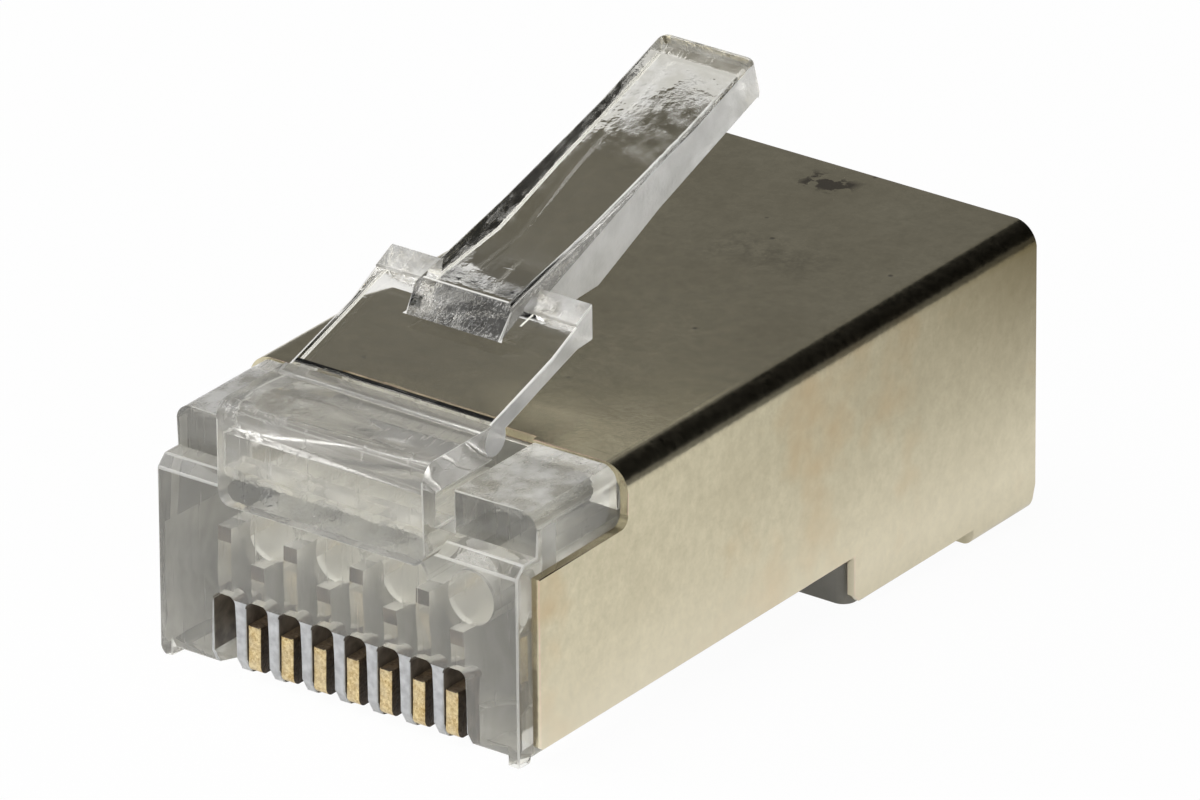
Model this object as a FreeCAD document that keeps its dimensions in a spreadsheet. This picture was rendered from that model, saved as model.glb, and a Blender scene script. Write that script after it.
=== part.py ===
import FreeCAD, Part
import Sketcher
import os
import re

# Shielded eight-way modular plug.
# The sizes below are in millimetres and degrees, measured from the nose: x to the right, y back
# from the mating face, z up from the underside of the nose. Each placement then lowers the
# piece by half the height of the shell, so that the origin lies in the middle of the mating face.

sizes = {
    # overall body
    "body_width": 11.68,
    "shell_top": 6.63,
    "shell_back": 21.69,
    "sheet": 0.25,
    "side_play": 0.05,
    "seat_play": 0.02,
    "end_play": 0.05,
    # nose and core of the housing
    "front_top": 5.16,
    "ledge_top": 5.45,
    "ledge_bevel": 0.30,
    "step_back": 13.80,
    "rear_drop": 1.10,
    "core_back": 21.20,
    "core_bend": 0.48,
    "sole_bend": 0.30,
    "step_bend": 0.38,
    "foot_length": 0.50,
    "post_width": 0.34,
    "nose_rise": 0.57,
    "nose_knee_back": 0.21,
    "nose_knee_rise": 0.18,
    "nose_run": 0.90,
    # shoulder lugs either side of the latch
    "lug_front": 0.83,
    "lug_back": 4.12,
    "lug_inner": 3.02,
    "lug_drop": 0.03,
    "lug_bend": 0.45,
    # fixed strap that carries the latch
    "strap_width": 6.34,
    "strap_front": 0.60,
    "strap_wall": 0.55,
    "strap_top": 7.80,
    "strap_thick": 0.94,
    "strap_bend": 0.45,
    "strap_drop": 0.11,
    "strap_corner": 0.38,
    "foot_back": 0.75,
    "foot_top": 5.95,
    # hinge line of the latch
    "root_radius": 0.45,
    "hinge_back": 2.42,
    "hinge_play": 0.03,
    "seat_lip": 0.20,
    # latch plate, shoulders and lever
    "plate_width": 6.20,
    "plate_thick": 0.46,
    "ramp_angle": 17.7,
    "ramp_back": 4.83,
    "shoulder_front": 5.83,
    "shoulder_back": 6.50,
    "shoulder_foot": 1.25,
    "shoulder_rise": 1.66,
    "shoulder_step": 0.09,
    "lever_width": 2.94,
    "lever_crest": 5.40,
    "lever_rise": 1.60,
    "sag_start": 8.80,
    "sag_rise": 2.42,
    "sag_end": 13.00,
    "sag_end_rise": 3.60,
    "lever_tip": 15.93,
    "tip_lean": 0.25,
    "tip_rise": 4.52,
    "tip_low": 3.60,
    "tip_corner": 0.28,
    "tip_nick": 0.20,
    "tip_bend": 0.16,
    "keel_back": 8.95,
    "keel_rise": 0.76,
    "belly_back": 11.50,
    "belly_rise": 1.88,
    "under_rise": 0.67,
    # contacts
    "contact_spacing": 1.016,
    "blade_thick": 0.38,
    "blade_play": 0.015,
    "blade_shift": 0.095,
    "blade_front": 0.05,
    "blade_back": 5.90,
    "blade_bottom": 0.24,
    "blade_bend": 0.26,
    "nose_height": 1.55,
    "blade_shoulder": 1.62,
    "heel_height": 1.90,
    "tine_land": 0.22,
    "tine_spacing": 1.28,
    "tine_deep": 0.75,
    "tall_tip": 3.60,
    "short_tip": 2.80,
    # contact slots and wire bores
    "slot_width": 0.70,
    "slot_shift": 0.03,
    "slot_top": 2.21,
    "slot_bend": 0.22,
    "tip_play": 0.34,
    "window_back": 1.02,
    "channel_top": 0.90,
    "high_bore_front": 1.42,
    "high_bore_rise": 3.86,
    "high_bore_radius": 0.70,
    "low_bore_front": 2.90,
    "low_bore_rise": 2.95,
    "low_bore_radius": 0.50,
    # cable space
    "throat_front": 8.40,
    "throat_width": 9.10,
    "throat_floor": 1.90,
    "floor_wall": 0.75,
    "roof_wall": 0.85,
    # strain-relief bar in the floor
    "bar_front": 15.20,
    "bar_long": 3.20,
    "bar_width": 6.40,
    "bar_gap": 0.32,
    # shell
    "shell_front": 0.50,
    "shelf": 5.06,
    "shelf_bend": 0.30,
    "shell_bend": 0.70,
    "skirt": 0.40,
    "skirt_play": 0.08,
    "skirt_bevel": 0.20,
    "rear_skirt": 0.90,
    "flap_front": 18.92,
    "flap_seam": 0.12,
    "flap_bend": 0.36,
    "rear_cut": 0.45,
    "rear_lean": 0.16,
    "tongue_half": 2.95,
    "tongue_back": 0.19,
    "corner_cut": 0.10,
    # how far a cut runs past the surface that it opens
    "over": 1.00,
}
contactCount = 8
tineCount = 3

# How close two lengths in millimetres must be to count as equal, and the least volume in cubic
# millimetres that a feature must add or take away.
lengthLimit = 0.002
volumeLimit = 0.0001

# Sizes that follow from the ones above, as formulas.
derived = {
    "origin_drop": "shell_top/2",
    "core_half": "body_width/2 - sheet - side_play",
    "core_top": "shell_top - sheet - seat_play",
    "lug_top": "shell_top - lug_drop",
    "lug_width": "core_half - lug_inner",
    "lug_middle": "(core_half + lug_inner)/2",
    "shell_edge": "lug_back + end_play",
    "recess_back": "shell_edge + end_play",
    "nose_half": "core_half - post_width",
    "strap_back": "hinge_back - seat_lip",
    "strap_under": "strap_top - strap_thick",
    "strap_low": "front_top - strap_drop",
    "hinge_rise": "strap_top - root_radius",
    "flap_top": "-rear_drop - seat_play",
    "shell_low": "-rear_drop - seat_play - sheet",
    "first_contact": "-(%d - 1)/2*contact_spacing" % contactCount,
    "first_blade": "first_contact - blade_shift",
    "first_slot": "first_contact + slot_shift",
    "blade_slot": "blade_thick + 2*blade_play",
    "slot_back": "blade_back + end_play",
    "throat_roof": "core_top - roof_wall",
    "cable_front": "step_back + floor_wall",
    "cable_floor": "floor_wall - rear_drop",
    "shell_skirt": "step_back - skirt_play",
    "under_start": "hinge_back + root_radius/2",
}

document = FreeCAD.newDocument("ModularPlug")
sizeSheet = document.addObject("Spreadsheet::Sheet", "Sizes")
for row, (alias, value) in enumerate(sizes.items(), start=1):
    sizeSheet.set("A%d" % row, alias)
    sizeSheet.set("B%d" % row, str(value))
    sizeSheet.setAlias("B%d" % row, alias)
document.recompute()


def formula(text):
    """Turn the words of the two tables into a bound expression."""
    def expand(match):
        word = match.group(0)
        if word in derived:
            return "(" + formula(derived[word]) + ")"
        if word in sizes:
            return "Sizes." + word
        return word
    return re.sub(r"[a-z][a-z_]*", expand, text)


def originPart(body, role):
    for feature in body.Origin.OriginFeatures:
        if feature.Role == role:
            return feature
    raise ValueError(role)


def startBody(name):
    body = document.addObject("PartDesign::Body", name)
    body.Label = name
    body.setExpression("Placement.Base.z", formula("-origin_drop"))
    return body


def startSketch(body, name, role, offset):
    sketch = body.newObject("Sketcher::SketchObject", name)
    sketch.AttachmentSupport = [(originPart(body, role), "")]
    sketch.MapMode = "FlatFace"
    sketch.setExpression("AttachmentOffset.Base.z", formula(offset))
    return sketch


def bindPoint(sketch, geometry, point, across, up, start):
    """Ties a point of a sketch to two formulas."""
    for kind, text, first in (("DistanceX", across, start.x), ("DistanceY", up, start.y)):
        number = sketch.addConstraint(Sketcher.Constraint(kind, -1, 1, geometry, point, first))
        sketch.setExpression("Constraints[%d]" % number, formula(text))


def drawOutline(sketch, points):
    """Closed outline of straight lines with its corners bound to formulas."""
    starts = [FreeCAD.Vector(index + 1, (index + 1) ** 2, 0) for index in range(len(points))]
    for index, start in enumerate(starts):
        sketch.addGeometry(Part.LineSegment(start, starts[(index + 1) % len(starts)]), False)
    for index in range(len(points)):
        following = (index + 1) % len(points)
        sketch.addConstraint(Sketcher.Constraint("Coincident", index, 2, following, 1))
    for index, (across, up) in enumerate(points):
        bindPoint(sketch, index, 1, across, up, starts[index])


def drawCircle(sketch, across, up, radius):
    start = FreeCAD.Vector(1, 1, 0)
    sketch.addGeometry(Part.Circle(start, FreeCAD.Vector(0, 0, 1), 1), False)
    bindPoint(sketch, 0, 3, across, up, start)
    number = sketch.addConstraint(Sketcher.Constraint("Radius", 0, 1.0))
    sketch.setExpression("Constraints[%d]" % number, formula(radius))


def runOut(body, kind, name, sketch, length, symmetric):
    """Pad or pocket of a sketch, checked to have changed the solid."""
    before = body.Shape.Volume if body.Tip else 0
    feature = body.newObject("PartDesign::" + kind, name)
    feature.Profile = sketch
    if symmetric:
        feature.SideType = "Symmetric"
    feature.setExpression("Length", formula(length))
    document.recompute()
    if abs(feature.Shape.Volume - before) < volumeLimit:
        raise ValueError(name + " changes nothing")
    return feature


def slab(body, kind, name, middle, width, points):
    """Side outline in y and z, run out to both sides of x = middle."""
    sketch = startSketch(body, name + "_outline", "YZ_Plane", middle)
    drawOutline(sketch, points)
    return runOut(body, kind, name, sketch, width, True)


def rod(body, kind, name, across, up, radius, width):
    """Round bar or groove along x."""
    sketch = startSketch(body, name + "_circle", "YZ_Plane", "0")
    drawCircle(sketch, across, up, radius)
    return runOut(body, kind, name, sketch, width, True)


def bore(body, name, across, up, radius, front, back):
    """Round pocket from y = front to y = back."""
    sketch = startSketch(body, name + "_circle", "XZ_Plane", "-(%s)" % front)
    drawCircle(sketch, across, up, radius)
    return runOut(body, "Pocket", name, sketch, "(%s) - (%s)" % (back, front), False)


def box(front, low, back, high):
    """Corners of a rectangle in y and z."""
    return [(front, low), (back, low), (back, high), (front, high)]


def repeatAcross(body, feature, count, spacing):
    """Copies of a feature, spaced along x."""
    pattern = body.newObject("PartDesign::LinearPattern", feature.Name + "_row")
    pattern.Originals = [feature]
    pattern.Direction = (originPart(body, "X_Axis"), [""])
    pattern.Occurrences = count
    pattern.setExpression("Length", formula("%d*(%s)" % (count - 1, spacing)))
    body.Tip = pattern
    document.recompute()
    return pattern


def placed(edge, axis, **corner):
    """True for a straight edge along an axis (0, 1 or 2) whose middle has the corner's values."""
    extents = (edge.BoundBox.XLength, edge.BoundBox.YLength, edge.BoundBox.ZLength)
    if sum(extents) - extents[axis] > lengthLimit:
        return False
    middle = edge.BoundBox.Center
    found = {"x": abs(middle.x), "y": middle.y, "z": middle.z}
    return all(abs(found[name] - value) < lengthLimit for name, value in corner.items())


def centred(edge, middle):
    """True for an edge whose middle is at a point, on either side of x = 0."""
    found = edge.BoundBox.Center
    return FreeCAD.Vector(abs(found.x), found.y, found.z).distanceToPoint(middle) < lengthLimit


def roundEdges(body, name, radius, wanted):
    """Rounds the edges of the body's last shape that the test picks."""
    base = body.Tip
    edges = ["Edge%d" % number for number, edge in enumerate(base.Shape.Edges, start=1) if wanted(edge)]
    fillet = body.newObject("PartDesign::Fillet", name)
    fillet.Base = (base, edges)
    fillet.setExpression("Radius", formula(radius))
    document.recompute()
    return fillet


def sized(text):
    """Present value of a formula."""
    return float(sizeSheet.evalExpression(formula(text)))


def buildHousing():
    body = startBody("housing")
    slab(body, "Pad", "core", "0", "2*core_half", [
        ("0", "0"),
        ("step_back", "0"),
        ("step_back", "-rear_drop"),
        ("core_back", "-rear_drop"),
        ("core_back", "core_top"),
        ("recess_back", "core_top"),
        ("recess_back", "ledge_top"),
        ("ledge_bevel", "ledge_top"),
        ("0", "front_top"),
    ])
    coreTop = sized("core_top")
    coreHalf = sized("core_half")
    roundEdges(body, "core_edges", "core_bend",
               lambda edge: placed(edge, 1, x=coreHalf, z=coreTop))
    stepBack = sized("step_back")
    roundEdges(body, "step_corners", "step_bend", lambda edge: placed(edge, 2, x=coreHalf, y=stepBack))
    roundEdges(body, "sole_edges", "sole_bend",
               lambda edge: placed(edge, 1, x=coreHalf, z=0))
    slab(body, "Pad", "right_foot", "core_half - post_width/2", "post_width",
         box("0", "0", "foot_length", "sole_bend"))
    lugOutline = box("lug_front", "ledge_top - over", "lug_back", "lug_top")
    for side, middle in (("left", "-lug_middle"), ("right", "lug_middle")):
        slab(body, "Pad", side + "_lug", middle, "lug_width", lugOutline)
    lugTop = sized("lug_top")
    roundEdges(body, "lug_edges", "lug_bend",
               lambda edge: placed(edge, 1, x=coreHalf, z=lugTop))
    buildStrap(body)
    cutSlots(body)
    cutCableSpace(body)
    return body


def buildStrap(body):
    """Fixed strap over the nose, with the round seat for the root of the latch."""
    slab(body, "Pad", "strap", "0", "strap_width", [
        ("-strap_front", "strap_low"),
        ("foot_back", "strap_low"),
        ("foot_back", "foot_top"),
        ("strap_wall - strap_front", "foot_top"),
        ("strap_wall - strap_front", "strap_under"),
        ("strap_back", "strap_under"),
        ("strap_back", "strap_top"),
        ("-strap_front", "strap_top"),
    ])
    front = -sized("strap_front")
    top = sized("strap_top")
    low = sized("strap_low")
    half = sized("strap_width/2")
    roundEdges(body, "strap_crown", "strap_bend", lambda edge: placed(edge, 0, y=front, z=top))
    roundEdges(body, "strap_corners", "strap_corner", lambda edge: placed(edge, 1, x=half, z=low))
    rod(body, "Pocket", "latch_seat", "hinge_back", "hinge_rise", "root_radius + hinge_play",
        "strap_width + over")


def cutSlots(body):
    """Contact windows, blade slots and wire bores in the nose."""
    slab(body, "Pocket", "nose_edge", "0", "2*nose_half", [
        ("-over", "-over"),
        ("nose_run", "-over"),
        ("nose_run", "0"),
        ("nose_knee_back", "nose_knee_rise"),
        ("0", "nose_rise"),
        ("-over", "nose_rise"),
    ])
    window = slab(body, "Pocket", "window", "first_slot", "slot_width",
                  box("-over", "-over", "window_back", "slot_top"))
    repeatAcross(body, window, contactCount, "contact_spacing")
    slotTop = sized("slot_top")
    roundEdges(body, "window_corners", "slot_bend", lambda edge: placed(edge, 1, z=slotTop))
    channel = slab(body, "Pocket", "channel", "first_slot", "slot_width",
                   box("window_back/2", "-over", "slot_back", "channel_top"))
    repeatAcross(body, channel, contactCount, "contact_spacing")
    for name, step, tip in (("tall", "0", "tall_tip"), ("short", "contact_spacing", "short_tip")):
        slot = slab(body, "Pocket", name + "_slot", "first_blade + " + step, "blade_slot",
                    box("window_back/2", "-over", "slot_back", tip + " + tip_play"))
        repeatAcross(body, slot, contactCount//2, "2*contact_spacing")
    for name, step in (("low_bore", "0"), ("high_bore", "contact_spacing")):
        wire = bore(body, name, "first_contact + " + step, name + "_rise", name + "_radius",
                    name + "_front", "throat_front + over")
        repeatAcross(body, wire, contactCount//2, "2*contact_spacing")


def cutCableSpace(body):
    slab(body, "Pocket", "cable_space", "0", "throat_width", [
        ("throat_front", "throat_floor"),
        ("step_back", "throat_floor"),
        ("cable_front", "cable_floor"),
        ("core_back + over", "cable_floor"),
        ("core_back + over", "throat_roof"),
        ("throat_front", "throat_roof"),
    ])
    gap = box("bar_front", "-rear_drop - over", "bar_front + bar_long", "cable_floor + over/2")
    for side, middle in (("left", "-bar_width/2"), ("right", "bar_width/2")):
        slab(body, "Pocket", side + "_bar_gap", middle, "bar_gap", gap)
    slab(body, "Pocket", "front_bar_gap", "0", "bar_width",
         box("bar_front", "-rear_drop - over", "bar_front + bar_gap", "cable_floor + over/2"))


def buildLatch():
    body = startBody("latch")
    rod(body, "Pad", "root", "hinge_back", "hinge_rise", "root_radius", "plate_width")
    rampTop = "hinge_rise + root_radius/cos(ramp_angle) + (%s - hinge_back)*tan(ramp_angle)"
    rampUnder = "hinge_rise + (root_radius - plate_thick)/cos(ramp_angle)"
    rampUnder += " + (%s - hinge_back)*tan(ramp_angle)"
    underLevel = "strap_top + under_rise"
    crownLevel = "strap_top + shoulder_rise"
    slab(body, "Pad", "plate", "0", "plate_width", [
        ("hinge_back - root_radius*sin(ramp_angle)", "hinge_rise + root_radius*cos(ramp_angle)"),
        ("under_start", rampUnder % "(under_start)"),
        ("shoulder_front", rampUnder % "shoulder_front"),
        ("shoulder_back", underLevel),
        ("shoulder_back", crownLevel),
        ("shoulder_front", "strap_top + shoulder_foot + shoulder_step"),
        ("shoulder_front", "strap_top + shoulder_foot"),
        ("ramp_back", rampTop % "ramp_back"),
    ])
    slab(body, "Pad", "lever", "0", "lever_width", [
        ("ramp_back", "%s - plate_thick/2" % (rampTop % "ramp_back")),
        ("shoulder_back", underLevel),
        ("keel_back", "strap_top + keel_rise"),
        ("belly_back", "strap_top + belly_rise"),
        ("lever_tip - tip_nick", "strap_top + tip_low - tip_nick"),
        ("lever_tip", "strap_top + tip_low"),
        ("lever_tip - tip_lean", "strap_top + tip_rise"),
        ("sag_end", "strap_top + sag_end_rise"),
        ("sag_start", "strap_top + sag_rise"),
        ("lever_crest", "strap_top + lever_rise"),
        ("ramp_back", rampTop % "ramp_back"),
    ])
    leverHalf = sized("lever_width/2")
    tipTop = sized("strap_top + tip_rise")
    tipFront = sized("lever_tip - tip_lean")
    tipLow = sized("strap_top + tip_low")
    tipBack = sized("lever_tip")
    tipMiddle = FreeCAD.Vector(leverHalf, (tipFront + tipBack)/2, (tipTop + tipLow)/2)
    roundEdges(body, "tip_corners", "tip_corner", lambda edge: centred(edge, tipMiddle))
    roundEdges(body, "tip_edge", "tip_bend", lambda edge: placed(edge, 0, y=tipFront, z=tipTop))
    return body


def buildShield():
    body = startBody("shield")
    slab(body, "Pad", "blank", "0", "body_width",
         box("shell_front", "shell_low", "shell_back", "shell_top"))
    half = sized("body_width/2")
    top = sized("shell_top")
    low = sized("shell_low")
    roundEdges(body, "top_bends", "shell_bend", lambda edge: placed(edge, 1, x=half, z=top))
    roundEdges(body, "flap_bends", "flap_bend", lambda edge: placed(edge, 1, x=half, z=low))
    tube = body.newObject("PartDesign::Thickness", "tube")
    ends = [number for number, face in enumerate(body.Shape.Faces, start=1)
            if face.BoundBox.YLength < lengthLimit]
    tube.Base = (body.Tip if body.Tip != tube else tube.BaseFeature, ["Face%d" % n for n in ends])
    tube.Reversed = True
    tube.setExpression("Value", formula("sheet"))
    document.recompute()
    slab(body, "Pocket", "skirt_cut", "0", "body_width + over", [
        ("shell_front - over", "shell_low - over"),
        ("flap_front", "shell_low - over"),
        ("flap_front", "-rear_skirt"),
        ("shell_skirt + skirt_bevel", "-rear_skirt"),
        ("shell_skirt", "skirt_bevel - rear_skirt"),
        ("shell_skirt", "skirt"),
        ("shell_front + corner_cut", "skirt"),
        ("shell_front", "skirt + corner_cut"),
        ("shell_front - over", "skirt + corner_cut"),
    ])
    slab(body, "Pocket", "front_cut", "0", "body_width + over",
         box("shell_front - over", "shelf", "shell_edge", "shell_top + over"))
    edgeAt = sized("shell_edge")
    shelf = sized("shelf")
    roundEdges(body, "shelf_corners", "shelf_bend",
               lambda edge: placed(edge, 0, y=edgeAt, z=shelf))
    slab(body, "Pocket", "tongue_cut", "0", "2*tongue_half",
         box("shell_edge - over", "shell_top - sheet - over", "shell_edge + tongue_back",
             "shell_top + over"))
    slab(body, "Pocket", "rear_cut", "0", "body_width + over", [
        ("shell_back - rear_lean", "shell_low - over"),
        ("shell_back + over", "shell_low - over"),
        ("shell_back + over", "flap_top + rear_cut"),
        ("shell_back", "flap_top + rear_cut"),
        ("shell_back - rear_lean", "flap_top"),
    ])
    slab(body, "Pocket", "seam", "0", "flap_seam",
         box("flap_front - over", "shell_low - over", "shell_back + over", "flap_top + over"))
    return body


def buildContact(number):
    """Blade with its piercing tines. The odd ones reach higher, and the first has lost its nose."""
    tip = "tall_tip" if number % 2 else "short_tip"
    if number == 1:
        points = [("blade_shoulder", "blade_bottom")]
        corner = sized("blade_shoulder")
    else:
        points = [
            ("blade_front", "blade_bottom"),
            ("blade_front", "nose_height"),
            ("blade_shoulder", "nose_height"),
        ]
        corner = sized("blade_front")
    points.append(("blade_shoulder", tip))
    for tine in range(tineCount):
        peak = "blade_shoulder + tine_land + %d*tine_spacing" % tine
        points.append((peak, tip))
        points.append((peak + " + tine_spacing/2", tip + " - tine_deep"))
    points += [("blade_back", "heel_height"), ("blade_back", "blade_bottom")]
    body = startBody("contact_%d" % number)
    slab(body, "Pad", "blade_%d" % number, "first_blade + %d*contact_spacing" % (number - 1),
         "blade_thick", points)
    bottom = sized("blade_bottom")
    roundEdges(body, "blade_corner_%d" % number, "blade_bend",
               lambda edge: placed(edge, 0, y=corner, z=bottom))
    return body


pieces = [buildHousing(), buildLatch(), buildShield()]
pieces += [buildContact(number) for number in range(1, contactCount + 1)]
document.recompute()

for item in document.Objects:
    if "Invalid" in item.State or "Error" in item.State:
        raise ValueError("%s failed: %s" % (item.Name, item.State))
for piece in pieces:
    if piece.Shape.isNull() or not piece.Shape.isValid() or len(piece.Shape.Solids) != 1:
        raise ValueError(piece.Label + " is not one valid solid")

os.makedirs("parts", exist_ok=True)
for piece in pieces:
    piece.Shape.exportStep(os.path.join("parts", piece.Label + ".step"))
    print(piece.Label, round(piece.Shape.Volume, 3), piece.Shape.BoundBox)
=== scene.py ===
import math
import bmesh
import bpy
from mathutils import Matrix, Vector


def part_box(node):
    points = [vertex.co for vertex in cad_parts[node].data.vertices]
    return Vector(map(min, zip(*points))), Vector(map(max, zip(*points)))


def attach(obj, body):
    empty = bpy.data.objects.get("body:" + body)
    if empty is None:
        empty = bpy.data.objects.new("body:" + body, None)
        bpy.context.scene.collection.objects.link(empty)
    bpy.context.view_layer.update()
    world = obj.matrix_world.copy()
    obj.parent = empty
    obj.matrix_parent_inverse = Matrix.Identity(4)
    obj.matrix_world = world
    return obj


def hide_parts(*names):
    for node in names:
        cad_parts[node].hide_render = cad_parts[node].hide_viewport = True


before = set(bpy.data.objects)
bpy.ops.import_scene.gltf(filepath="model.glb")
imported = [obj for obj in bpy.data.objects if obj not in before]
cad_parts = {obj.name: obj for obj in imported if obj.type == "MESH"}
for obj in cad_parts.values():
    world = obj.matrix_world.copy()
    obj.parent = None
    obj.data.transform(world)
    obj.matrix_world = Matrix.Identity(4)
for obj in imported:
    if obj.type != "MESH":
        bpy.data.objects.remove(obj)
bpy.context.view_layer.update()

mm = 0.001

# Heights below count from the underside of the nose, as in the solids
rearDrop = 1.10   # the housing reaches this far lower at its rear step
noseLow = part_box("housing")[0].z + rearDrop * mm
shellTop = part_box("shield")[1].z
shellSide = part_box("shield")[1].x


# Place in the frame, from millimetres counted from the underside of the nose
def spot(x, y, z):
    return Vector((x * mm, y * mm, noseLow + z * mm))


# The way back, from a place in the frame to those millimetres
def fromNose(point):
    return Vector((point.x, point.y, point.z - noseLow)) / mm


def pick(piece):
    if bpy.context.object and bpy.context.object.mode != "OBJECT":
        bpy.ops.object.mode_set(mode="OBJECT")
    bpy.ops.object.select_all(action="DESELECT")
    piece.select_set(True)
    bpy.context.view_layer.objects.active = piece


def addToScene(piece):
    bpy.context.scene.collection.objects.link(piece)
    return piece


# Node helpers: a socket is fed by another socket or gets a plain value
def feed(tree, node, sockets):
    for name, value in sockets.items():
        if isinstance(value, bpy.types.NodeSocket):
            tree.links.new(value, node.inputs[name])
        else:
            node.inputs[name].default_value = value


def addNode(tree, kind, sockets=None, **settings):
    node = tree.nodes.new(kind)
    for name, value in settings.items():
        setattr(node, name, value)
    feed(tree, node, sockets or {})
    return node


def calculate(tree, operation, *values):
    return addNode(tree, "ShaderNodeMath", dict(enumerate(values)), operation=operation).outputs[0]


def plus(tree, first, second):
    return calculate(tree, "ADD", first, second)


def minus(tree, first, second):
    return calculate(tree, "SUBTRACT", first, second)


def times(tree, first, second):
    return calculate(tree, "MULTIPLY", first, second)


def clamp(tree, value):
    return addNode(tree, "ShaderNodeClamp", {"Value": value}).outputs[0]


def splitAxes(tree, where):
    return addNode(tree, "ShaderNodeSeparateXYZ", {0: where}).outputs


def remap(tree, value, low, high, start=0.0, end=1.0):
    sockets = {"Value": value, "From Min": low, "From Max": high, "To Min": start, "To Max": end}
    return addNode(tree, "ShaderNodeMapRange", sockets).outputs["Result"]


mixSockets = {"first": 6, "second": 7, "result": 2}   # the colour sockets of a Mix node


def blendColours(tree, amount, first, second):
    sockets = {0: amount}
    for name, colour in (("first", first), ("second", second)):
        linked = isinstance(colour, bpy.types.NodeSocket)
        sockets[mixSockets[name]] = colour if linked else (*colour, 1)
    return addNode(tree, "ShaderNodeMix", sockets, data_type="RGBA").outputs[mixSockets["result"]]


# Shared effects are node groups with named inputs that put out a mask
number = "NodeSocketFloat"
vector = "NodeSocketVector"


def startGroup(name, inputs):
    group = bpy.data.node_groups.new(name, "ShaderNodeTree")
    for label, kind in inputs.items():
        group.interface.new_socket(label, in_out="INPUT", socket_type=kind)
    group.interface.new_socket("Mask", in_out="OUTPUT", socket_type=number)
    entry = group.nodes.new("NodeGroupInput")
    end = group.nodes.new("NodeGroupOutput")
    return group, entry.outputs, end.inputs["Mask"]


# Soft box: 1 inside, falling to 0 over the soft distance outside
def makeSoftBox():
    group, given, mask = startGroup(
        "softBox", {"Place": vector, "Centre": vector, "Half": vector, "Soft": number})
    offset = addNode(group, "ShaderNodeVectorMath", {0: given["Place"], 1: given["Centre"]},
                     operation="SUBTRACT").outputs[0]
    size = addNode(group, "ShaderNodeVectorMath", {0: offset}, operation="ABSOLUTE").outputs[0]
    past = addNode(group, "ShaderNodeVectorMath", {0: size, 1: given["Half"]},
                   operation="SUBTRACT").outputs[0]
    parts = splitAxes(group, past)
    furthest = calculate(group, "MAXIMUM", calculate(group, "MAXIMUM", parts[0], parts[1]), parts[2])
    fade = calculate(group, "DIVIDE", furthest, given["Soft"])
    group.links.new(clamp(group, minus(group, 1.0, fade)), mask)
    return group


# Specks: a share of the cells carries a round dot of the given size
def makeSpecks(sharpness):
    group, given, mask = startGroup(
        "specks", {"Place": vector, "Scale": number, "Share": number, "Size": number})
    cells = addNode(group, "ShaderNodeTexVoronoi", {"Vector": given["Place"], "Scale": given["Scale"]})
    chosen = addNode(group, "ShaderNodeSeparateColor", {0: cells.outputs["Color"]}).outputs[0]
    picked = calculate(group, "LESS_THAN", chosen, given["Share"])
    reach = calculate(group, "DIVIDE", cells.outputs["Distance"], given["Size"])
    dot = clamp(group, times(group, minus(group, 1.0, reach), sharpness))
    group.links.new(times(group, dot, picked), mask)
    return group


# Fine scratches: broken thin lines along one direction
def makeScratches(sharpness):
    group, given, mask = startGroup(
        "scratches", {"Place": vector, "Turn": vector, "Stretch": vector, "Share": number})
    lined = addNode(group, "ShaderNodeMapping", {"Vector": given["Place"], "Rotation": given["Turn"],
                                                 "Scale": given["Stretch"]}).outputs[0]
    grain = addNode(group, "ShaderNodeTexNoise", {"Vector": lined, "Scale": 1.0,
                                                  "Detail": 1.0}).outputs["Fac"]
    line = minus(group, grain, minus(group, 1.0, given["Share"]))
    group.links.new(clamp(group, times(group, line, sharpness)), mask)
    return group


softBox = makeSoftBox()
specks = makeSpecks(sharpness=2.0)
scratches = makeScratches(sharpness=12.0)
print("shared effects made")


def place(tree):
    return addNode(tree, "ShaderNodeTexCoord").outputs["Object"]


def noise(tree, where, scale, detail=3.0, rough=0.5):
    sockets = {"Vector": where, "Scale": scale, "Detail": detail, "Roughness": rough}
    return addNode(tree, "ShaderNodeTexNoise", sockets).outputs["Fac"]


def maskFrom(tree, group, sockets):
    return addNode(tree, "ShaderNodeGroup", sockets, node_tree=group).outputs["Mask"]


def boxMask(tree, where, low, high, soft):
    first = spot(*low)
    second = spot(*high)
    return maskFrom(tree, softBox, {"Place": where, "Centre": (first + second) / 2,
                                    "Half": (second - first) / 2, "Soft": soft * mm})


def joinMasks(tree, masks):
    joined = masks[0]
    for mask in masks[1:]:
        joined = calculate(tree, "MAXIMUM", joined, mask)
    return joined


def bumpFrom(tree, height, values):
    return addNode(tree, "ShaderNodeBump", {"Height": height, "Strength": values["bumpStrength"],
                                            "Distance": values["bumpDepth"] * mm}).outputs[0]


def newMaterial(name):
    material = bpy.data.materials.new(name)
    material.use_nodes = True
    tree = material.node_tree
    tree.nodes.clear()
    out = tree.nodes.new("ShaderNodeOutputMaterial")
    shader = tree.nodes.new("ShaderNodeBsdfPrincipled")
    tree.links.new(shader.outputs["BSDF"], out.inputs["Surface"])
    return material, tree, shader, out


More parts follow.
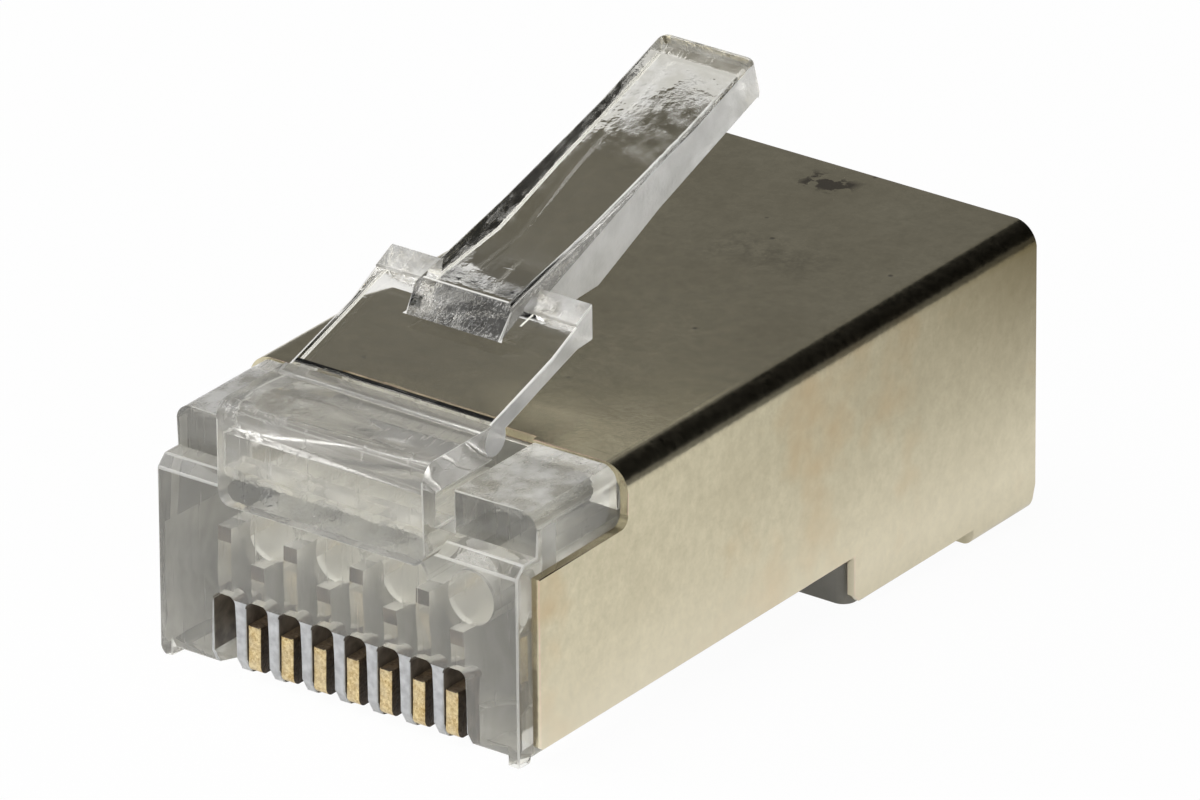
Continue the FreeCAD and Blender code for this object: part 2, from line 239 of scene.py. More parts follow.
# Clear polycarbonate, a little hazy, with frosted zones
def clearPlastic(name, values):
    material, tree, shader, out = newMaterial(name)
    where = place(tree)
    zones = [boxMask(tree, where, low, high, values["zoneSoft"]) for low, high in values["frosted"]]
    broken = remap(tree, noise(tree, where, values["patchScale"]), *values["patchCut"])
    frost = times(tree, joinMasks(tree, zones), broken)
    grain = noise(tree, where, values["grainScale"], detail=2.0, rough=0.6)
    flow = noise(tree, where, values["flowScale"], detail=1.0)
    streaks = maskFrom(tree, scratches, {"Place": where, "Turn": values["streakTurn"],
                                         "Stretch": values["streakStretch"], "Share": values["streakShare"]})
    rough = plus(tree, values["rough"], times(tree, frost, values["frostRough"]))
    grainHeight = times(tree, grain, plus(tree, values["grainLeast"], frost))
    height = plus(tree, times(tree, flow, values["flowShare"]), grainHeight)
    height = minus(tree, height, times(tree, streaks, values["streakDepth"]))
    cloudy = remap(tree, noise(tree, where, values["cloudScale"], detail=2.0), *values["cloudCut"])
    tint = blendColours(tree, cloudy, values["colour"], values["cloud"])
    # Darker beyond a set place along one axis: near the top of the housing, towards the tip of the lever
    along = splitAxes(tree, where)[values["darkeningAxis"]]
    darkening = remap(tree, along, values["darkeningStart"] * mm, values["darkeningEnd"] * mm)
    tint = blendColours(tree, darkening, tint, values["darkening"])
    tint = blendColours(tree, times(tree, frost, values["whiteShare"]), tint, values["white"])
    # The mark is a dark box: a speck on one finish, painted shade of a cavity on another
    mark = boxMask(tree, where, *values["mark"], values["markSoft"])
    tint = blendColours(tree, mark, tint, values["markColour"])
    feed(tree, shader, {"Base Color": tint, "Transmission Weight": values["clear"], "IOR": values["ior"],
                        "Roughness": rough, "Normal": bumpFrom(tree, height, values)})
    path = tree.nodes.new("ShaderNodeLightPath")
    through = addNode(tree, "ShaderNodeBsdfTransparent", {"Color": (*values["shadow"], 1)})
    mix = addNode(tree, "ShaderNodeMixShader", {0: path.outputs["Is Shadow Ray"],
                                                1: shader.outputs["BSDF"], 2: through.outputs["BSDF"]})
    tree.links.new(mix.outputs["Shader"], out.inputs["Surface"])
    return material


# Satin nickel with mottling, pits, scratches and a smudge, and painted shade and a painted floor reflection
# on its side
def platedSheet(name, values):
    material, tree, shader, out = newMaterial(name)
    where = place(tree)
    parts = splitAxes(tree, where)
    onSide = remap(tree, calculate(tree, "ABSOLUTE", parts[0]),
                   *(shellSide - depth * mm for depth in values["sideEdge"]))
    cloud = remap(tree, noise(tree, where, values["cloudScale"], detail=4.0, rough=0.6), *values["cloudCut"])
    fine = remap(tree, noise(tree, where, values["fineScale"], detail=3.0, rough=0.7), *values["fineCut"])
    tint = blendColours(tree, cloud, values["light"], values["warm"])
    mottle = remap(tree, noise(tree, where, values["mottleScale"], detail=6.0, rough=0.85),
                   *values["mottleCut"])
    tint = blendColours(tree, times(tree, mottle, values["mottleShare"]), tint, values["mottle"])
    stain = remap(tree, noise(tree, where, values["stainScale"], detail=3.0, rough=0.6), *values["stainCut"])
    stain = times(tree, times(tree, stain, onSide), values["stainShare"])
    tint = blendColours(tree, stain, tint, values["stain"])
    # Painted shade darkens the side towards its upper rear corner, and a painted reflection of the floor
    # lightens it along its foot
    rise = remap(tree, parts[2], noseLow, shellTop)
    run = remap(tree, parts[1], 0.0, values["length"] * mm)
    paintedShade = times(tree, calculate(tree, "POWER", run, values["paintedShadeBend"]), rise)
    paintedShade = times(tree, times(tree, paintedShade, values["paintedShade"]), onSide)
    tint = blendColours(tree, paintedShade, tint, values["paintedShadeColour"])
    paintedSheenMask = calculate(tree, "POWER", minus(tree, 1.0, rise), values["paintedSheenBend"])
    paintedSheenMask = times(tree, paintedSheenMask, remap(tree, run, 0.0, 1.0, *values["paintedSheenRun"]))
    tint = blendColours(tree, times(tree, paintedSheenMask, onSide), tint, values["paintedSheen"])
    pits = maskFrom(tree, specks, {"Place": where, "Scale": values["pitScale"],
                                   "Share": values["pitShare"], "Size": values["pitSize"]})
    tint = blendColours(tree, times(tree, pits, values["pitStrength"]), tint, values["pit"])
    ragged = remap(tree, noise(tree, where, values["smudgeScale"]), *values["smudgeCut"])
    smudge = boxMask(tree, where, *values["smudge"], values["smudgeSoft"])
    smudge = remap(tree, plus(tree, smudge, ragged), *values["smudgeEdge"])
    tint = blendColours(tree, times(tree, smudge, values["smudgeShare"]), tint, values["pit"])
    smear = boxMask(tree, where, *values["smear"], values["smearSoft"])
    smear = times(tree, smear, remap(tree, mottle, *values["smearCut"], 0.0, values["smearShare"]))
    tint = blendColours(tree, smear, tint, values["pit"])
    lines = maskFrom(tree, scratches, {"Place": where, "Turn": values["scratchTurn"],
                                       "Stretch": values["scratchStretch"],
                                       "Share": values["scratchShare"]})
    rough = plus(tree, values["rough"], times(tree, fine, values["roughSpread"]))
    rough = plus(tree, rough, times(tree, smudge, values["smudgeRough"]))
    height = plus(tree, times(tree, fine, values["fineHeight"]), times(tree, cloud, values["cloudHeight"]))
    height = minus(tree, height, plus(tree, pits, times(tree, lines, values["scratchDepth"])))
    feed(tree, shader, {"Base Color": tint, "Metallic": 1.0, "Roughness": rough,
                        "Normal": bumpFrom(tree, height, values)})
    return material


# Plating on the contacts, grainy, with darker worn spots
def grainyPlate(name, values):
    material, tree, shader, out = newMaterial(name)
    where = place(tree)
    grain = noise(tree, where, values["grainScale"], detail=3.0, rough=0.7)
    patch = remap(tree, noise(tree, where, values["patchScale"], detail=2.0), *values["patchCut"])
    tint = blendColours(tree, remap(tree, grain, *values["grainCut"]), values["dark"], values["light"])
    tint = blendColours(tree, times(tree, patch, values["wornShare"]), tint, values["worn"])
    feed(tree, shader, {"Base Color": tint, "Metallic": values["metal"], "Roughness": values["rough"],
                        "Normal": bumpFrom(tree, grain, values)})
    return material


# Scales are per metre and depths in millimetres. A cut gives the noise values that become 0 and 1.
farAway = [((0, 0, 50), (0.1, 0.1, 50.1))]   # a zone that no piece reaches
heightAxis = 2
depthAxis = 1
plasticBase = {
    "ior": 1.50, "patchCut": (0.38, 0.62), "cloudCut": (0.35, 0.65), "whiteShare": 0.8,
    "streakTurn": (0.0, 0.0, 0.0), "mark": farAway[0], "markSoft": 0.06, "markColour": (0.015, 0.015, 0.012),
}
housingFinish = dict(plasticBase, **{
    "colour": (0.93, 0.92, 0.885), "cloud": (0.88, 0.865, 0.81), "cloudScale": 700.0,
    "darkening": (0.62, 0.61, 0.58), "darkeningAxis": heightAxis, "darkeningStart": 3.2, "darkeningEnd": 3.9,
    "white": (0.90, 0.90, 0.89), "clear": 0.88, "rough": 0.08, "shadow": (0.86, 0.86, 0.84),
    "patchScale": 2600.0, "grainScale": 9000.0, "flowScale": 600.0, "flowShare": 0.5,
    "grainLeast": 0.002, "frostRough": 0.10, "bumpStrength": 0.6, "bumpDepth": 0.03, "zoneSoft": 0.12,
    "streakStretch": (9000.0, 2000.0, 500.0), "streakShare": 0.36, "streakDepth": 0.35,
    "frosted": [
        ((-0.96, -0.70, 5.76), (0.00, -0.50, 6.57)),   # square mark on the strap's face
        ((-3.20, -0.70, 5.40), (-2.60, -0.40, 6.60)),  # strap's left end
        ((2.75, -0.70, 6.35), (3.20, -0.40, 6.85)),    # strap's right end
        ((3.02, 0.75, 5.40), (3.75, 0.90, 5.85)),      # blob on the right lug
        ((3.02, 0.75, 6.45), (5.60, 1.00, 6.65)),      # right lug's front top edge
        ((-5.60, 0.75, 6.30), (-4.60, 1.60, 6.65)),    # left lug's corner
        ((-4.70, 0.75, 5.60), (-3.90, 0.95, 6.40)),    # left lug's face
        ((3.30, 0.90, 6.50), (5.40, 3.60, 6.65)),      # right lug's top
        ((-3.20, -0.70, 7.20), (-1.20, 0.60, 7.90)),   # strap's left shoulder
        ((1.90, -0.70, 5.05), (3.20, -0.50, 5.60)),    # strap's lower right corner
        ((-3.20, -0.70, 5.05), (3.20, -0.55, 5.95)),   # strap's lower edge
    ],
})
latchFinish = dict(plasticBase, **{
    "colour": (0.97, 0.96, 0.93), "cloud": (0.94, 0.93, 0.89), "cloudScale": 500.0,
    "darkening": (0.66, 0.645, 0.59), "darkeningAxis": depthAxis, "darkeningStart": 11.3, "darkeningEnd": 13.3,
    "white": (0.95, 0.95, 0.94), "clear": 1.0, "rough": 0.03, "shadow": (0.9, 0.9, 0.88),
    "patchScale": 2200.0, "grainScale": 7000.0, "flowScale": 450.0, "flowShare": 0.8,
    "grainLeast": 0.02, "frostRough": 0.20, "bumpStrength": 0.5, "bumpDepth": 0.02, "zoneSoft": 0.25,
    "streakStretch": (600.0, 5000.0, 5000.0), "streakShare": 0.34, "streakDepth": 0.15,
    "frosted": [
        ((-0.90, 12.3, 9.00), (1.40, 14.6, 13.00)),    # ripples near the tip
        ((-1.60, 5.60, 8.50), (-1.38, 15.5, 13.0)),    # lever's left side
        ((-3.20, 5.70, 8.80), (3.20, 5.95, 9.50)),     # face of the shoulders
    ],
})
evenFinish = dict(housingFinish, darkeningStart=40.0, darkeningEnd=41.0, frosted=farAway)   # no darkening and no frost
edgeFinish = dict(evenFinish, clear=0.55, rough=0.22, grainLeast=0.5, cloud=(0.94, 0.93, 0.89))
innerFinish = dict(evenFinish, clear=0.74, rough=0.15, grainLeast=0.0, colour=(0.90, 0.89, 0.85),
                   cloud=(0.70, 0.69, 0.64), cloudScale=1300.0, shadow=(0.98, 0.98, 0.97))
plasticFinishes = {
    "clearPolycarbonate": housingFinish,
    "clearLever": latchFinish,
    "frostedEdge": edgeFinish,
    "leverEdge": dict(edgeFinish, clear=0.25, rough=0.30),
    "frostedRib": dict(edgeFinish, clear=0.35, rough=0.30, grainLeast=0.3, colour=(0.90, 0.915, 0.94),
                       cloud=(0.66, 0.67, 0.69), cloudScale=4000.0, streakStretch=(900.0, 900.0, 12000.0),
                       streakShare=0.45),
    "frostedSide": dict(edgeFinish, clear=0.35, rough=0.25, grainLeast=0.8, colour=(0.97, 0.965, 0.95),
                        cloud=(0.80, 0.80, 0.78), cloudScale=1200.0),
    # The mark is the dark speck near the tip of the lever
    "frostedTop": dict(edgeFinish, clear=0.66, rough=0.12, grainLeast=1.0, grainScale=5000.0,
                       bumpDepth=0.05, colour=(0.97, 0.965, 0.95), cloud=(0.50, 0.485, 0.44),
                       cloudScale=1400.0, mark=((0.51, 15.5, 11.84), (0.57, 15.8, 11.92))),
    # The mark is painted shade standing for the dark cavity at the riser's left end
    "streakedRiser": dict(edgeFinish, clear=0.84, rough=0.12, grainLeast=0.8, grainScale=6000.0,
                          bumpDepth=0.05, colour=(0.62, 0.61, 0.58), cloud=(0.32, 0.31, 0.29),
                          cloudScale=1500.0, streakStretch=(9000.0, 9000.0, 600.0), streakShare=0.45,
                          mark=((-1.44, 4.8, 8.80), (-1.12, 5.6, 9.02))),
    # Painted shade: the face of the rear step is dark, as where the shell encloses the plastic
    "stepShade": dict(edgeFinish, clear=0.30, rough=0.25, colour=(0.50, 0.48, 0.43), cloud=(0.36, 0.35, 0.31)),
    "boreEnd": dict(edgeFinish, clear=0.86, rough=0.18, grainLeast=0.6, cloudScale=1500.0),
    "rimLight": dict(edgeFinish, clear=0.20, rough=0.30, colour=(0.98, 0.98, 0.97), cloud=(0.80, 0.80, 0.78)),
    "innerClear": innerFinish,
    "deepHaze": dict(innerFinish, clear=0.50, rough=0.35, colour=(0.74, 0.73, 0.69), cloud=(0.50, 0.49, 0.45),
                     cloudScale=1100.0),
    "slotWindow": dict(innerFinish, clear=0.95, rough=0.08),
    # Painted shade at the ends of the pockets above the blades
    "pocketShade": dict(innerFinish, clear=0.25, colour=(0.16, 0.13, 0.10), cloud=(0.06, 0.05, 0.04)),
    # Painted shade inside the slots, brown like a painted reflection of the gold
    "slotShade": dict(housingFinish, colour=(0.07, 0.057, 0.045), cloud=(0.15, 0.125, 0.10),
                       cloudScale=2600.0, clear=0.10, rough=0.35, grainLeast=0.6, frosted=farAway),
}
nickelFinish = {
    "light": (0.75, 0.685, 0.495), "warm": (0.66, 0.595, 0.42), "cloudScale": 330.0, "cloudCut": (0.3, 0.7),
    "fineScale": 6000.0, "fineCut": (0.3, 0.7), "rough": 0.17, "roughSpread": 0.09,
    "mottle": (0.42, 0.38, 0.26), "mottleScale": 2200.0, "mottleCut": (0.35, 0.65), "mottleShare": 0.45,
    "stain": (0.62, 0.45, 0.25), "stainScale": 260.0, "stainCut": (0.55, 0.70), "stainShare": 0.6,
    "sideEdge": (0.30, 0.02), "length": 21.7,
    # Painted shade on the upper rear of the side, then a painted floor reflection along its foot
    "paintedShadeColour": (0.12, 0.09, 0.03), "paintedShade": 1.0, "paintedShadeBend": 2.0,
    "paintedSheen": (0.97, 0.89, 0.70), "paintedSheenBend": 3.0, "paintedSheenRun": (0.9, 0.35),
    "pit": (0.10, 0.085, 0.07), "pitScale": 1300.0, "pitShare": 0.22, "pitSize": 0.11, "pitStrength": 0.6,
    "smudge": ((-0.3, 20.50, 6.5), (0.5, 20.75, 6.7)), "smudgeSoft": 0.45, "smudgeScale": 2600.0,
    "smudgeCut": (0.44, 0.52), "smudgeEdge": (1.0, 1.6), "smudgeShare": 0.9, "smudgeRough": 0.2,
    "smear": ((0.5, 16.1, 6.5), (2.3, 16.4, 6.7)), "smearSoft": 0.9, "smearCut": (0.2, 0.8),
    "smearShare": 0.25, "scratchTurn": (0.0, 0.0, 0.2), "scratchStretch": (300.0, 25000.0, 300.0),
    "scratchShare": 0.22, "scratchDepth": 0.4,
    "fineHeight": 0.35, "cloudHeight": 1.0, "bumpStrength": 0.26, "bumpDepth": 0.02,
}
cutFinish = dict(nickelFinish, light=(0.85, 0.66, 0.54), warm=(0.80, 0.62, 0.50), rough=0.18)
goldFinish = {
    "light": (0.95, 0.78, 0.44), "dark": (0.52, 0.35, 0.14), "worn": (0.70, 0.62, 0.46), "wornShare": 0.35,
    "metal": 0.85, "rough": 0.35, "grainScale": 11000.0, "grainCut": (0.35, 0.65), "patchScale": 2500.0,
    "patchCut": (0.35, 0.65), "bumpStrength": 0.8, "bumpDepth": 0.03,
}
# Painted shade: blade sides and tops are dark brown, as inside the slots
bladeShadeFinish = dict(goldFinish, light=(0.11, 0.075, 0.045), dark=(0.03, 0.02, 0.012),
                       worn=(0.08, 0.065, 0.05), metal=0.3)
# Painted light: where cloudy plastic covers a blade, it is a pale dull grey instead of metal, for the light
# it shows through the haze
hazeLitBladeFinish = dict(goldFinish, light=(0.66, 0.64, 0.58), dark=(0.50, 0.48, 0.42),
                        worn=(0.60, 0.58, 0.51), metal=0.0, rough=0.5)
plastic = {name: clearPlastic(name, values) for name, values in plasticFinishes.items()}
nickel = platedSheet("nickelPlate", nickelFinish)
cutNickel = platedSheet("cutEdge", cutFinish)
gold = grainyPlate("goldPlate", goldFinish)
bladeShade = grainyPlate("bladeShade", bladeShadeFinish)
hazeLitBlade = grainyPlate("hazeLitBlade", hazeLitBladeFinish)
print("materials made")

# Lengths in millimetres, angles in degrees
softening = {"merge": 0.0005, "flat": 0.3, "segments": 3, "angle": 32, "shortest": 0.28, "flatWeight": 100}


def mergedCopy(node, name):
    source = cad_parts[node]
    piece = addToScene(bpy.data.objects.new(name, source.data.copy()))
    piece.data.name = name
    pick(piece)
    bpy.ops.mesh.customdata_custom_splitnormals_clear()
    bpy.ops.object.mode_set(mode="EDIT")
    bpy.ops.mesh.select_all(action="SELECT")
    bpy.ops.mesh.remove_doubles(threshold=softening["merge"] * mm)
    bpy.ops.mesh.dissolve_limited(angle_limit=math.radians(softening["flat"]))
    bpy.ops.object.mode_set(mode="OBJECT")
    return piece


# Outer corners that are long enough take the bevel, and short ones round curved openings stay sharp
def weighEdges(piece, share):
    shape = bmesh.new()
    shape.from_mesh(piece.data)
    layer = shape.edges.layers.float.new("bevel_weight_edge")
    for edge in shape.edges:
        if len(edge.link_faces) != 2 or edge.calc_length() < softening["shortest"] * mm:
            continue
        if edge.calc_face_angle_signed() > math.radians(softening["angle"]):
            edge[layer] = share(fromNose((edge.verts[0].co + edge.verts[1].co) / 2))
    shape.to_mesh(piece.data)
    shape.free()


def softenEdges(piece, width, share):
    weighEdges(piece, share)
    pick(piece)
    bevel = piece.modifiers.new("softEdges", "BEVEL")
    bevel.width = width * mm
    bevel.segments = softening["segments"]
    bevel.limit_method = "WEIGHT"
    bevel.use_clamp_overlap = False
    bevel.material = 1   # the edge finish
    bpy.ops.object.modifier_apply(modifier=bevel.name)
    bpy.ops.object.shade_smooth_by_angle(angle=math.radians(softening["angle"]))
    flatten = piece.modifiers.new("flatFaces", "WEIGHTED_NORMAL")
    flatten.mode = "FACE_AREA"
    flatten.weight = softening["flatWeight"]
    flatten.keep_sharp = True
    bpy.ops.object.modifier_apply(modifier=flatten.name)


def fullShare(at):
    return 1.0


def dress(node, name, body, finish, edge, width, share=fullShare):
    piece = mergedCopy(node, name)
    piece.data.materials.clear()
    piece.data.materials.append(finish)
    piece.data.materials.append(edge)
    softenEdges(piece, width, share)
    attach(piece, body)
    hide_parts(node)
    return piece


# True where each measure lies between its two limits; side is the distance from the middle
def within(point, limits):
    measures = {"x": point.x, "y": point.y, "z": point.z, "side": abs(point.x)}
    return all(low < measures[name] < high for name, (low, high) in limits.items())


# Picks faces by limits on their centre, in millimetres from the nose, and on their normal
def region(at, facing=None):
    return lambda middle, normal: within(middle, at) and within(normal, facing or {})


def lineFaces(piece, finishes, regions):
    for name, picks in regions.items():
        piece.data.materials.append(finishes[name])
        for face in piece.data.polygons:
            middle = fromNose(face.center)
            if any(wanted(middle, face.normal) for wanted in picks):
                face.material_index = len(piece.data.materials) - 1


# Divides the faces along a plane, so that its two sides can take different finishes
def cutAcross(piece, at, normal):
    pick(piece)
    bpy.ops.object.mode_set(mode="EDIT")
    bpy.ops.mesh.select_all(action="SELECT")
    bpy.ops.mesh.bisect(plane_co=spot(*at), plane_no=normal)
    bpy.ops.object.mode_set(mode="OBJECT")


def cutLevels(piece, heights, depths):
    for level in heights:
        cutAcross(piece, (0, 0, level), (0, 0, 1))
    for level in depths:
        cutAcross(piece, (0, level, 0), (0, 1, 0))


least = -99.0
most = 99.0
facingUp = {"z": (0.9, most)}
facingBack = {"y": (0.9, most)}
facingSide = {"side": (0.9, most)}
facingRight = {"x": (0.9, most)}
facingAlong = {"side": (least, 0.5)}

# Housing: the inside is all that holds the slots, the bores and the cable space
rimFront = 0.29   # just before the rounded rim of the slots
inside = {"y": (rimFront, 20.5), "side": (least, 4.8), "z": (least, 5.0)}
slotValues = {"high": 2.21, "sill": 0.60, "back": 1.07, "firstBack": 2.0, "firstRight": -3.1, "outer": 4.1,
              "wall": 0.7}
slotMouth = dict(inside, y=(rimFront, 0.7))
pocketValues = {"firstBlade": -3.651, "spacing": 1.016, "tall": (3.55, most), "short": (2.75, 3.3)}
housingValues = {
    "softWidth": 0.05,
    "featherEdge": {"y": (2.0, 2.3), "side": (least, 3.3)},   # of the strap, too thin for a bevel
    "strapEnds": {"z": (7.6, most), "side": (3.1, most)}, "strapShare": 0.2,
    "cutHeights": (pocketValues["tall"][0], pocketValues["short"][0], 2.22, slotValues["sill"]),
    "cutDepths": (1.04, 1.60, 0.60),   # across the inside of each slot
}


def housingShare(at):
    if within(at, inside) or within(at, housingValues["featherEdge"]):
        return 0.0
    return housingValues["strapShare"] if within(at, housingValues["strapEnds"]) else 1.0


# The open slots in front, whose walls take painted shade with a brown painted reflection of the gold; the
# first one is empty and shows its walls further in
def inSlot(middle, normal):
    first = middle.x < slotValues["firstRight"]
    low = slotValues["sill"] if first else least
    back = slotValues["firstBack"] if first else slotValues["back"]
    limits = {"y": (rimFront, back), "z": (low, slotValues["high"]), "side": (least, slotValues["outer"])}
    return within(middle, limits) and (abs(normal.x) > slotValues["wall"] or normal.y < -slotValues["wall"])


# The ends of the pockets above the blades, tall and short in turn, which take painted shade
def inPocket(middle, normal):
    count = round((middle.x - pocketValues["firstBlade"]) / pocketValues["spacing"])
    heights = pocketValues["short"] if count % 2 else pocketValues["tall"]
    return within(middle, slotMouth) and within(middle, {"z": heights}) and within(normal, facingBack)


# Later finishes cover earlier ones
housingRegions = {
    "innerClear": [region(inside)],
    "slotWindow": [region(slotMouth, facingBack)],
    "pocketShade": [inPocket],
    "deepHaze": [
        region(dict(inside, y=(1.6, 20.5)), {"side": (least, 0.97)}),
        region(dict(inside, y=(6.1, 20.5))),
        region({"side": (5.4, most), "y": (0.6, most), "z": (least, 5.0)}, facingSide),   # outer walls
    ],
    "rimLight": [region(dict(inside, y=(1.42, 1.6), z=(3.0, 5.0)), {"x": (0.1, 0.97), "z": (-0.3, most)})],
    "boreEnd": [region(dict(inside, y=(1.2, 1.7), z=(slotValues["high"], 5.0)), facingBack)],
    "slotShade": [inSlot],
    "frostedRib": [region({"y": (least, rimFront), "z": (least, 2.11), "side": (least, slotValues["outer"])},
                          {"y": (least, -0.3)})],
    "frostedTop": [region({"y": (least, 4.5), "z": (6.4, most), "side": (3.1, most)}, facingUp)],
    "stepShade": [region({"y": (13.3, 14.4), "z": (least, 0.2)}, {"z": (-0.7, most)})],
}
housing = dress("housing", "housingMoulding", "plug", plastic["clearPolycarbonate"],
                plastic["frostedEdge"], housingValues["softWidth"], housingShare)
cutLevels(housing, housingValues["cutHeights"], housingValues["cutDepths"])
lineFaces(housing, plastic, housingRegions)
print("housing dressed")

# Latch: the wedge is the solid root of the lever, above a line that rises backwards
latchValues = {
    "softWidth": 0.15, "share": 0.4,
    "shoulderFoot": {"y": (5.78, 5.88)}, "footShare": 0.2,
    "crest": 9.3, "crestFront": 5.4, "crestSlope": 0.26, "crestDepth": 0.3, "crestEdge": (1.4, 1.55),
    "wedgeStart": (5.80, 8.77), "wedgeSlope": 0.376, "wedgeReach": {"y": (5.4, 12.0), "side": (least, 1.6)},
}


# The top edges of the lever are rounder than the rest of the latch
def latchShare(at):
    if within(at, latchValues["shoulderFoot"]):
        return latchValues["footShare"]
    crest = latchValues["crest"] + (at.y - latchValues["crestFront"]) * latchValues["crestSlope"]
    top = {"side": latchValues["crestEdge"], "z": (crest - latchValues["crestDepth"], most)}
    return 1.0 if within(at, top) else latchValues["share"]


def inWedge(middle):
    front, low = latchValues["wedgeStart"]
    line = low + (middle.y - front) * latchValues["wedgeSlope"]
    return middle.z > line and within(middle, latchValues["wedgeReach"])


def wedgeSide(middle, normal):
    return within(normal, facingRight) and inWedge(middle)


def leverSide(middle, normal):
    return within(normal, facingRight) and not inWedge(middle)


latchRegions = {
    "frostedSide": [leverSide],
    "streakedRiser": [wedgeSide, region({"z": (8.0, most)}, {"y": (least, -0.8)})],
    "frostedTop": [
        region({"side": (1.55, most), "y": (5.7, 6.6)}, dict(facingAlong, z=(-0.1, most))),   # shoulders
        region({"y": (15.5, most)}, facingAlong),   # tip of the lever
    ],
}
latch = dress("latch", "latchMoulding", "latch_lever", plastic["clearLever"], plastic["leverEdge"],
              latchValues["softWidth"], latchShare)
cutAcross(latch, (0, *latchValues["wedgeStart"]), (0, -latchValues["wedgeSlope"], 1))
lineFaces(latch, plastic, latchRegions)
print("latch dressed")

shieldValues = {"softWidth": 0.03}
dress("shield", "shieldSheet", "plug", nickel, cutNickel, shieldValues["softWidth"])
print("shield dressed")

# Blades: gold only on their front edges, painted shade on their sides and tops, and painted light where the
# cloudy plastic covers them
bladeValues = {"softWidth": 0.04, "coverBack": 1.7}
bladeFinishes = {"side": bladeShade, "covered": hazeLitBlade}
bladeRegions = {
    "side": [region({}, facingSide), region({}, {"z": (0.7, most)})],
    "covered": [region({"z": (slotValues["high"], most)}, facingSide),
                region({"y": (bladeValues["coverBack"], most)}, facingSide)],
}
# The first blade takes the painted shade on all its faces below the slot tops
firstBladeShadeRegions = dict(bladeRegions, side=bladeRegions["side"] + [region({"z": (least, slotValues["high"])})])
for count in range(1, 9):
    blade = dress("contact_%d" % count, "contactBlade%d" % count, "plug", gold, gold,
                  bladeValues["softWidth"])
    cutLevels(blade, (slotValues["high"],), (bladeValues["coverBack"],))
    lineFaces(blade, bladeFinishes, firstBladeShadeRegions if count == 1 else bladeRegions)
print("blades dressed")


# A staging surface that rays of one kind pass through
def hideFrom(tree, shading, out, rays):
    clear = addNode(tree, "ShaderNodeBsdfTransparent")
    mix = addNode(tree, "ShaderNodeMixShader", {0: rays, 1: shading, 2: clear.outputs[0]})
    tree.links.new(mix.outputs[0], out.inputs["Surface"])


def stageSheet(name, centre, first, second, material):
    corners = [centre + first * a + second * b for a, b in ((-1, -1), (-1, 1), (1, 1), (1, -1))]
    mesh = bpy.data.meshes.new(name)
    mesh.from_pydata([tuple(corner) for corner in corners], [], [(0, 1, 2, 3)])
    mesh.materials.append(material)
    addToScene(bpy.data.objects.new(name, mesh))


# Floor under the nose and the step; from below it is clear
floorValues = {"colour": (0.86, 0.86, 0.85), "rough": 0.9, "reach": 3.0, "nose": (0, 0.45, 0),
               "step": (0, 13.80, -rearDrop), "Is Camera Ray": 0.96, "Is Glossy Ray": 0.5,
               "Is Transmission Ray": 0.8}


def paleFloor(values):
    material, tree, shader, out = newMaterial("paleFloor")
    feed(tree, shader, {"Base Color": (*values["colour"], 1), "Roughness": values["rough"],
                        "Specular IOR Level": 0.0})
    glow = addNode(tree, "ShaderNodeEmission", {"Strength": 1.0})
    path = tree.nodes.new("ShaderNodeLightPath").outputs
    share = joinMasks(tree, [times(tree, path[rays], values[rays])
                             for rays in ("Is Camera Ray", "Is Glossy Ray", "Is Transmission Ray")])
    mix = addNode(tree, "ShaderNodeMixShader", {0: share, 1: shader.outputs["BSDF"], 2: glow.outputs[0]})
    hideFrom(tree, mix.outputs[0], out, addNode(tree, "ShaderNodeNewGeometry").outputs["Backfacing"])
    nose = spot(*values["nose"])
    along = (spot(*values["step"]) - nose).normalized()
    stageSheet("floor", nose, along * values["reach"], Vector((values["reach"], 0, 0)), material)


# Dark card behind the plug, which the bend of the shell mirrors and the camera doesn't see
cardValues = {"centre": (0.13, 0.36, 0.27), "half": (0.27, 0.195), "colour": (0.005, 0.005, 0.005)}


def darkCard(values):
    material, tree, shader, out = newMaterial("blackVelvet")
    feed(tree, shader, {"Base Color": (*values["colour"], 1), "Roughness": 1.0, "Specular IOR Level": 0.0})
    path = tree.nodes.new("ShaderNodeLightPath").outputs
    hideFrom(tree, shader.outputs["BSDF"], out, path["Is Camera Ray"])
    centre = Vector(values["centre"])
    away = centre.normalized()
    across = Vector((0, 0, 1)).cross(away).normalized()
    wide, high = values["half"]
    stageSheet("darkCard", centre, across * wide, away.cross(across) * high, material)


# Camera, with its place in millimetres from the nose and its focal length in picture widths
view = {"azimuth": 36.61, "elevation": 25.45, "roll": -0.549, "focal": 14040 / 1200,
        "place": (189.52, -244.18, 155.50), "sensor": 36, "clip": (0.01, 20)}


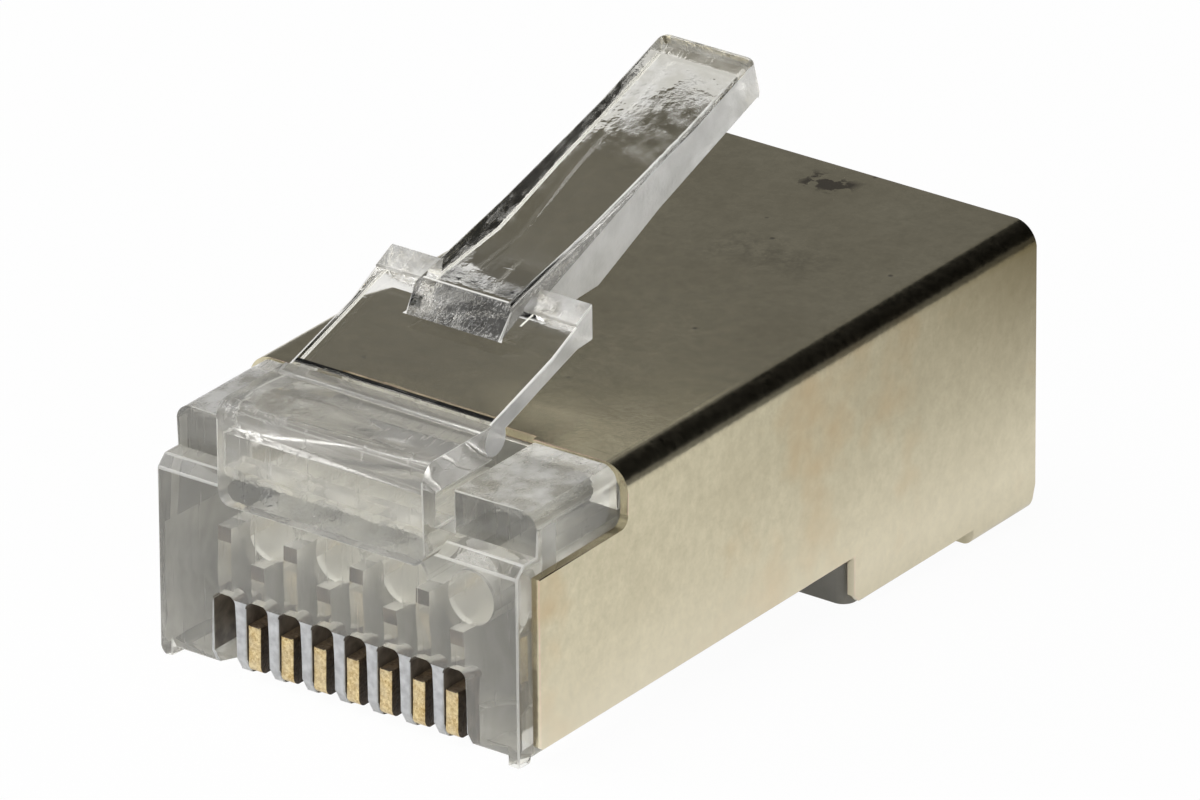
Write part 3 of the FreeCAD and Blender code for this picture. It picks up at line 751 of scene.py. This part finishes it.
def aimCamera(values):
    azimuth, elevation, roll = (math.radians(values[name]) for name in ("azimuth", "elevation", "roll"))
    back = Vector((math.sin(azimuth) * math.cos(elevation), -math.cos(azimuth) * math.cos(elevation),
                   math.sin(elevation)))
    right = Vector((math.cos(azimuth), math.sin(azimuth), 0))
    up = back.cross(right)
    across = math.cos(roll) * right + math.sin(roll) * up
    upward = -math.sin(roll) * right + math.cos(roll) * up
    lens = bpy.data.cameras.new("camera")
    lens.sensor_width = values["sensor"]
    lens.lens = values["focal"] * values["sensor"]
    lens.clip_start, lens.clip_end = values["clip"]
    camera = addToScene(bpy.data.objects.new("camera", lens))
    turn = Matrix((across, upward, back)).transposed().to_4x4()
    camera.matrix_world = Matrix.Translation(spot(*values["place"])) @ turn
    bpy.context.scene.camera = camera


# Light: each lamp has its place, its width and its power, and the shell doesn't mirror the front one
lightValues = {
    "world": (0.185, 0.185, 0.185), "through": (0.32, 0.315, 0.30), "backdrop": (0.96, 0.96, 0.96),
    "aim": (0, 0.01, 0), "notMirrored": ("front",),
    "lamps": {
        "overhead": ((-0.05, -0.05, 0.45), 0.35, 1.3),
        "left": ((-0.40, -0.20, 0.25), 0.30, 0.8),
        "front": ((0.05, -0.50, 0.30), 0.30, 0.6),
        "right": ((0.45, -0.15, 0.22), 0.25, 0.5),
    },
}


def softLamp(name, where, size, power):
    data = bpy.data.lights.new(name, "AREA")
    data.shape = "SQUARE"
    data.size = size
    data.energy = power
    lamp = addToScene(bpy.data.objects.new(name, data))
    lamp.location = where
    lamp.visible_glossy = name not in lightValues["notMirrored"]
    lamp.rotation_euler = (Vector(lightValues["aim"]) - Vector(where)).to_track_quat("-Z", "Y").to_euler()


# The camera sees the backdrop, clear plastic shows a grey room and the rest gets an even light
def lightRoom(values):
    world = bpy.data.worlds.new("studio")
    bpy.context.scene.world = world
    world.use_nodes = True
    tree = world.node_tree
    path = tree.nodes.new("ShaderNodeLightPath").outputs
    colour = blendColours(tree, path["Is Transmission Ray"], values["world"], values["through"])
    colour = blendColours(tree, path["Is Camera Ray"], colour, values["backdrop"])
    tree.links.new(colour, tree.nodes["Background"].inputs["Color"])
    for name, lamp in values["lamps"].items():
        softLamp(name, *lamp)


paleFloor(floorValues)
aimCamera(view)
lightRoom(lightValues)
darkCard(cardValues)
print("stage set")

bounces = {"transmission": 24, "all": 28}   # enough for light to cross all the walls of the plug
bpy.context.scene.cycles.transmission_bounces = bounces["transmission"]
bpy.context.scene.cycles.max_bounces = bounces["all"]
bpy.context.scene.view_settings.view_transform = "Standard"
